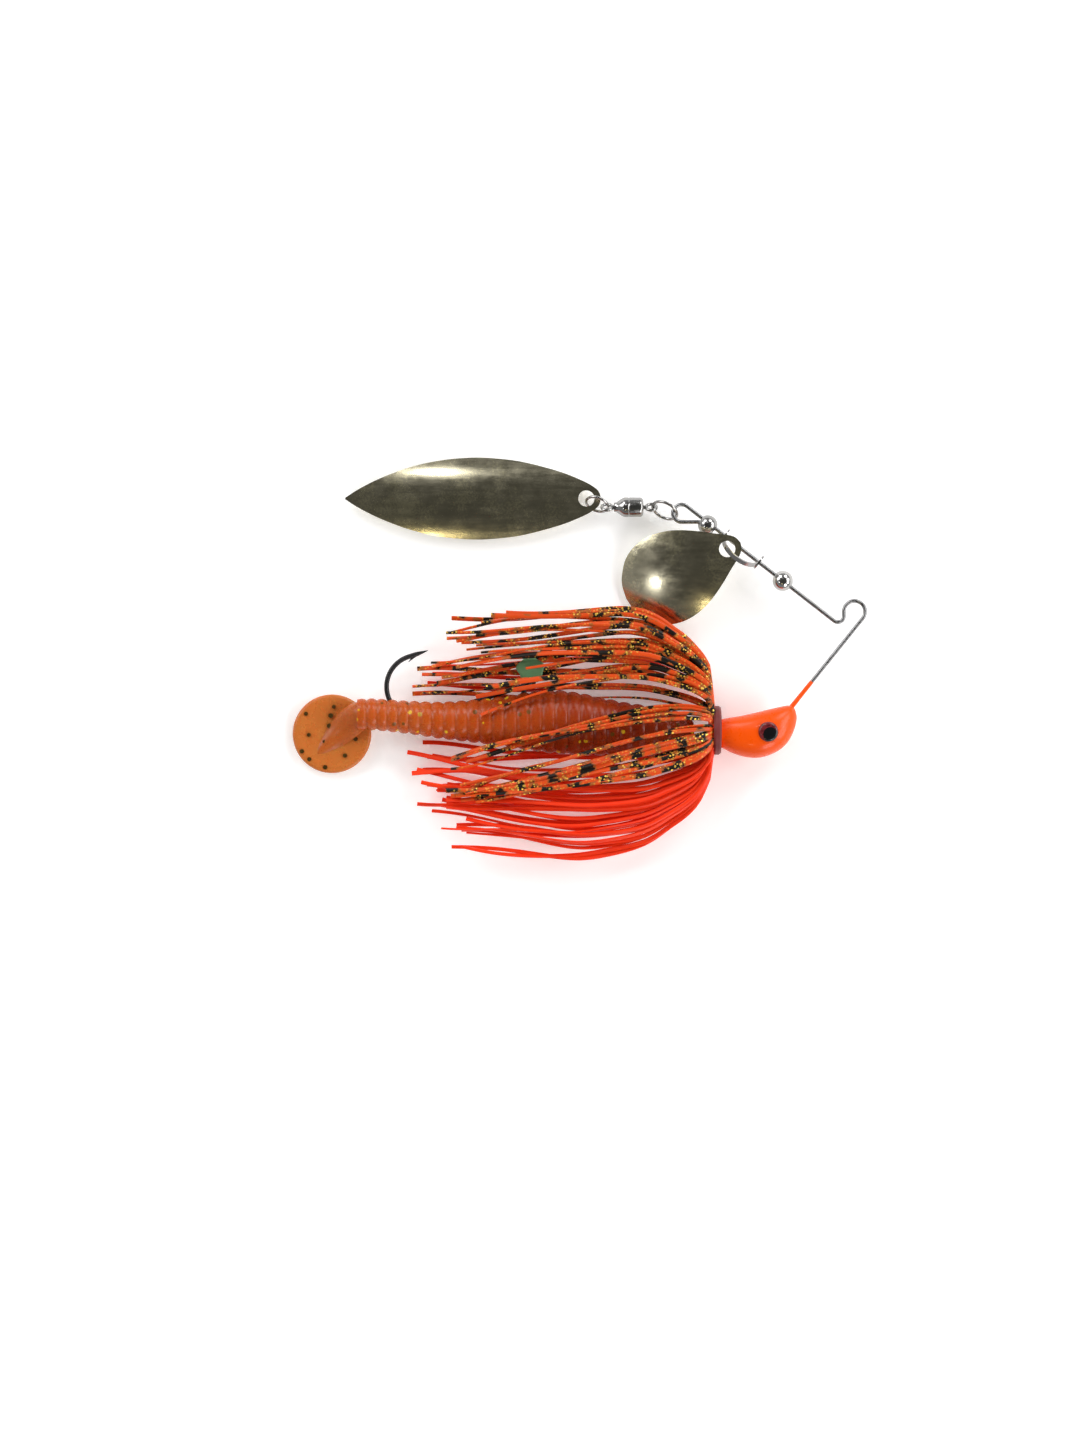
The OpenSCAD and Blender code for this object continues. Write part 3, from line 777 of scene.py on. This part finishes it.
# ---- trailer
def trailer(plastic, flakes):
    centre = [(-52, -13.2), (-48.5, -12.9), (-45, -12.9), (-38, -13.5), (-30, -14.2), (-19, -14.4),
              (-7, -14.4), (5, -15.5), (11, -16.2), (18, -16.6), (26, -16.5)]
    half = [(-52, 3.1), (-48.5, 3.5), (-45, 3.6), (-38, 3.75), (-30, 4.2), (-19, 5.3), (-7, 7.0), (0, 7.0),
            (5, 6.5), (11, 6.0), (18, 5.4), (23, 4.1), (25.4, 2.4), (26, 0.8)]
    deep = [(-52, 2.2), (-48.5, 3.0), (-45, 3.25), (-30, 3.85), (-7, 4.6), (5, 4.6), (18, 4.1), (23, 3.1),
            (25.4, 1.75), (26, 0.7)]
    neck, nose = -49.0, 26
    step, groove = 0.22, 0.55
    sides = 40
    rings, depth = [], []
    x = neck
    phase = 0.0
    while x < nose:
        pitch = curve([(-50, 2.2), (-20, 2.75), (nose, 2.9)], x)
        phase += step / pitch
        rib = abs(math.sin(math.pi * phase)) ** 0.6
        fade = min(1.0, max(0.0, (x - neck) / 2), max(0.0, (24.5 - x) / 3))
        cut = groove * (1 - rib) * fade
        y, h, d = curve(centre, x), curve(half, x) - cut, curve(deep, x) - cut * 0.8
        rings.append([mm(x, y + h * math.cos(TAU * j / sides), PLANE + d * math.sin(TAU * j / sides))
                      for j in range(sides)])
        depth += [0.3 + 0.7 * min(1.0, max(0.0, (x + 35) / 45))] * sides
        x += step
    points, faces = skin(rings)
    body = mesh_object("ribbed_body", points, faces, plastic, attributes={"deep": depth})
    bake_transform(body)
    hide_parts("trailer_body")
    tail(plastic, flakes)


def tail(plastic, flakes):
    hub = Vector((-54.9, -17.2, 1.8))
    radius = 8.8
    rings = []
    sides = 72
    section = [(0.02, -0.55), (0.5, -0.6), (0.9, -0.7), (0.97, -0.55), (1.0, -0.1), (0.985, 0.35),
               (0.93, 0.62), (0.8, 0.55), (0.5, 0.35), (0.02, 0.3)]
    for t, z in section:
        rings.append([mm(hub.x + radius * t * math.cos(TAU * j / sides),
                         hub.y + radius * t * math.sin(TAU * j / sides), hub.z + z) for j in range(sides)])
    points, faces = skin(rings)
    paddle = mesh_object("paddle", points, faces, plastic, attributes={"deep": [0.0] * len(points)})
    stand_for(paddle, "tail", "soft_plastic", "trailer_tail")
    rings = []
    sides = 28
    above = Vector((0, 0, 1))
    spine = [(-47.6, -12.9, PLANE - 0.2, 3.4, 2.9), (-49.2, -13.4, 4.7, 3.4, 2.3),
             (-51.0, -14.9, 3.2, 3.3, 1.8), (-53.0, -16.8, 2.3, 3.0, 1.3), (-55.2, -18.9, 2.0, 2.3, 0.8),
             (-57.4, -21.0, 1.8, 1.5, 0.6), (-59.0, -22.6, 1.6, 0.6, 0.4)]
    for i, (x, y, z, wide, tall) in enumerate(spine):
        flat = 1 + min(i / 3, 1)  # an ellipse at the neck, then a low mound with soft edges
        a, b = spine[max(i - 1, 0)], spine[min(i + 1, len(spine) - 1)]
        run = Vector((b[0] - a[0], b[1] - a[1], 0)).normalized()
        if i == 0:
            run = Vector((-1, 0, 0))
        side = Vector((-run.y, run.x, 0))
        rings.append([mm(x, y, z) + (side * wide * math.cos(TAU * j / sides)
                                     + above * tall * powered(math.sin(TAU * j / sides), flat)) * MM
                      for j in range(sides)])
    points, faces = skin(rings)
    stem = mesh_object("tail_stem", points, faces, plastic, attributes={"deep": [0.2] * len(points)})
    refine(stem, 1)
    stand_for(stem, "tail", "soft_plastic")
    rng = random.Random(3)
    points, faces = [], []
    for i in range(13):
        a = rng.uniform(0, TAU)
        r = radius * math.sqrt(rng.uniform(0.02, 0.85))
        x, y = hub.x + r * math.cos(a), hub.y + r * math.sin(a)
        size, spin = rng.uniform(0.42, 0.6), rng.uniform(0, 1)
        base = len(points)
        for z in (hub.z + 0.2, hub.z + 0.75):
            points += [mm(x + size * math.cos(spin + TAU * j / 6), y + size * math.sin(spin + TAU * j / 6), z)
                       for j in range(6)]
        faces += [tuple(base + j for j in range(6)), tuple(base + 6 + j for j in range(6))]
        faces += [(base + j, base + (j + 1) % 6, base + 6 + (j + 1) % 6, base + 6 + j) for j in range(6)]
    stand_for(mesh_object("tail_flakes", points, faces, flakes, smooth=False), "tail", "soft_plastic")


# ---- keeper disc
def keeper(rubber):
    lo, hi = low("keeper_disc"), high("keeper_disc")
    c = Vector(((lo[0] + hi[0]) / 2, (lo[1] + hi[1]) / 2, (lo[2] + hi[2]) / 2))
    r = (hi[0] - lo[0]) / 2
    rows, sides = 8, 48
    rings = []
    for face in (1, -1):
        for i in (range(rows + 1) if face > 0 else range(rows, -1, -1)):
            t = max(i / rows, 0.02)
            ring = []
            for j in range(sides):
                a = TAU * j / sides
                ragged = 0.07 * math.cos(5 * a + 1) * t ** 2
                nick = 0.1 * max(0.0, math.cos(a - 3.6)) ** 12 * t
                reach = r * t * (1 - ragged - nick)
                x, y = reach * math.cos(a), reach * math.sin(a)
                bend = 0.05 * x * x - 0.03 * y * y + 0.06 * x + 0.1 * y
                edge = 0.42 * (1 - 0.5 * t ** 6)
                ring.append(mm(c.x + x, c.y + y, c.z + 0.3 + bend + face * edge))
            rings.append(ring)
    points, faces = skin(rings)
    stand_for(mesh_object("bent_keeper", points, faces, rubber), "root", "keeper", "keeper_disc")


# ---- beads and swivel
ARM_TURN = math.radians(ARM_HEADING)
ARM_AXIS = Vector((math.cos(ARM_TURN), math.sin(ARM_TURN), 0))


def bead(name, node, bore, finish):
    lo, hi = low(node), high(node)
    c = mm(*[(a + b) / 2 for a, b in zip(lo, hi)])
    r = (hi[0] - lo[0]) / 2
    wall = 0.35
    start = math.asin((bore + 0.12) / r)
    n = 28
    profile = []
    for i in range(n + 1):
        a = start + (math.pi - 2 * start) * i / n
        profile.append((-r * math.cos(a), r * math.sin(a)))
    inner = r - wall
    start = math.asin(bore / inner)
    for i in range(n + 1):
        a = math.pi - start - (math.pi - 2 * start) * i / n
        profile.append((-inner * math.cos(a), inner * math.sin(a)))
    body = "lower_bead" if node == "lower_bead" else "root"
    stand_for(lathe(name, profile, c, ARM_AXIS, finish), body, "bead", node)


def swivel_barrel(finish):
    lo, hi = low("swivel_barrel"), high("swivel_barrel")
    a, b, r = lo[0], hi[0], (hi[2] - lo[2]) / 2
    origin = mm(0, (lo[1] + hi[1]) / 2, (lo[2] + hi[2]) / 2)
    nose = [(a, 0.6), (a, 0.95), (a + 0.1, 1.05), (a + 0.6, 1.12), (a + 1.0, 1.4), (a + 1.5, 1.78),
            (a + 2.0, 2.06), (a + 2.35, r - 0.02), (a + 2.5, r)]
    seam = [(a + 3.2, r), (a + 3.3, r - 0.06), (a + 3.42, r - 0.06), (a + 3.52, r)]
    rim = [(b - 0.75, r), (b - 0.5, r - 0.04), (b - 0.25, r - 0.2), (b - 0.08, r - 0.45), (b, r - 0.75)]
    inside = [(b, 0.48), (b - 1.4, 0.48), (b - 1.4, r - 0.45), (a + 2.6, r - 0.45), (a + 2.6, 0.6)]
    shell = lathe("barrel_shell", nose + seam + rim + inside, origin, (1, 0, 0), finish, 72, 28)
    stand_for(shell, "swivel", "bright_nickel", "swivel_barrel")


# ---- blades: outlines are rows of (share of the length, share of the half width)
ROUND_SHAPE = [(0, 0), (0.015, 0.13), (0.05, 0.24), (0.15, 0.42), (0.3, 0.69), (0.45, 0.9), (0.6, 1),
               (0.75, 0.96), (0.87, 0.78), (0.95, 0.5), (0.985, 0.28), (1, 0)]
WILLOW_SHAPE = [(0, 0), (0.008, 0.16), (0.03, 0.29), (0.077, 0.45), (0.163, 0.66), (0.31, 0.9),
                (0.42, 0.985), (0.51, 1), (0.63, 0.93), (0.743, 0.77), (0.857, 0.51), (0.946, 0.235),
                (1, 0.02)]
SHEET = 0.5
HOLE_R = 1.8
HOLE_INSET = 3.3
DOME_R = 42
TROUGH_R = 26
CREST = 24
HOLE_BOW = 840
TIP_BOW = 420


def blade(name, shape, length, width, height, place, finish):
    """Pressed sheet with its drilled hole at the origin: a grid on both faces, and a thinner rim."""
    long_n, wide_n = 120, 36
    rows = []
    for i in range(long_n + 1):
        u = (1 - math.cos(math.pi * i / long_n)) / 2
        w = max(width / 2 * curve(shape, u), 0.02)
        rows.append([(u * length - HOLE_INSET, w * math.sin(math.pi / 2 * (2 * j / wide_n - 1)))
                     for j in range(wide_n + 1)])
    points, faces = [], []
    n = wide_n + 1
    for face in (1, -1):
        for row in rows:
            for k, (x, y) in enumerate(row):
                rim = 0.55 if k in (0, wide_n) else 1.0
                points.append(place @ mm(x, y, height(x, y) + face * SHEET / 2 * rim))
    off = n * len(rows)
    for i in range(long_n):
        for j in range(wide_n):
            a = i * n + j
            faces.append((a, a + 1, a + n + 1, a + n))
            faces.append((off + a, off + a + n, off + a + n + 1, off + a + 1))
        for j in (0, wide_n):
            a = i * n + j
            faces.append((a, a + n, off + a + n, off + a))
    for i in (0, long_n):
        for j in range(wide_n):
            a = i * n + j
            faces.append((a, off + a, off + a + 1, a + 1))
    obj = mesh_object(name, points, faces, finish)
    drill_hole(obj, place)
    sharpen(obj, 35)
    return obj


def drill_hole(obj, place):
    sides = 64
    rings = [[place @ mm(HOLE_R * math.cos(TAU * j / sides), HOLE_R * math.sin(TAU * j / sides), z)
              for j in range(sides)] for z in (-3, 3)]
    drill = mesh_object("drill", *skin(rings), obj.data.materials[0])
    cut = obj.modifiers.new("hole", "BOOLEAN")
    cut.object = drill
    cut.operation = "DIFFERENCE"
    cut.solver = "EXACT"
    apply_modifiers(obj)
    bpy.data.objects.remove(drill)
    for p in obj.data.polygons:
        p.use_smooth = True


def blades(gold):
    joint = {j["name"]: j for j in frame["record"]["behaviour"]["joints"]}
    hang = Vector(joint["colorado_swing"]["pos_m"])
    place = Matrix.Translation(hang) @ Matrix.Rotation(math.radians(205.8), 4, "Z")

    def dome_height(x, y):
        return math.sqrt(DOME_R ** 2 - x * x - y * y) - DOME_R
    obj = blade("short_blade", ROUND_SHAPE, 27.9, 20.4, dome_height, place, gold)
    stand_for(obj, "colorado_blade", "gold_plate", "colorado_blade")
    place = (Matrix.Translation(mm(1.9, 35.3, 2.65)) @ Matrix.Rotation(math.pi, 4, "Z")
             @ Matrix.Rotation(math.radians(-1.1), 4, "Y"))

    def trough_height(x, y):
        bow = (x - CREST) ** 2 / (TIP_BOW if x > CREST else HOLE_BOW)
        return math.sqrt(TROUGH_R ** 2 - y * y) - TROUGH_R + CREST ** 2 / HOLE_BOW - bow
    obj = blade("long_blade", WILLOW_SHAPE, 57.1, 18.3, trough_height, place, gold)
    stand_for(obj, "willow_blade", "gold_plate", "willow_blade")


def carried_over(bright, collar):
    for name in ("inner_ring", "outer_ring", "swivel_eye", "swivel_stem", "swivel_balls", "clevis"):
        node = frame["nodes"][name]
        for slot in node.material_slots:
            slot.material = bright
    for slot in frame["nodes"]["skirt_collar"].material_slots:
        slot.material = collar


def stage():
    bpy.ops.mesh.primitive_plane_add(size=60, location=(0, 0, -FLOOR_DROP))
    floor = bpy.context.object
    floor.name = "floor"
    floor.data.materials.append(floor_finish())


bpy.context.scene.view_settings.view_transform = "Standard"
camera()
lights()
world()
stage()
PAINT = head_paint()
BRIGHT = nickel()
wire_arm(spring_wire(), PAINT)
BLACK = black_nickel()
hook("main_hook_wire", (44.5, -16), 180, [(47.4,), (9.2, -180), (6,)], 0.6, 4, BLACK, "main_hook")
hook("trailer_hook_wire", (-13.16, -6.86), 197.9, [(21.25,), (7, -180), (1.2,)], 0.55, 3.4, BLACK,
     "trailer_hook", 1.75)
head(PAINT)
eyes(eye_finish())
skirt(strand_finish("patterned_silicone", True), strand_finish("plain_silicone", False))
trailer(soft_plastic(), flake_finish())
keeper(keeper_rubber())
bead("lower_bead_ball", "lower_bead", 0.5, nickel("bead_nickel", 0.42, 0.06))
bead("upper_bead_ball", "upper_bead", 1.0, BRIGHT)
swivel_barrel(BRIGHT)
blades(gold_plate())
carried_over(BRIGHT, collar_rubber())
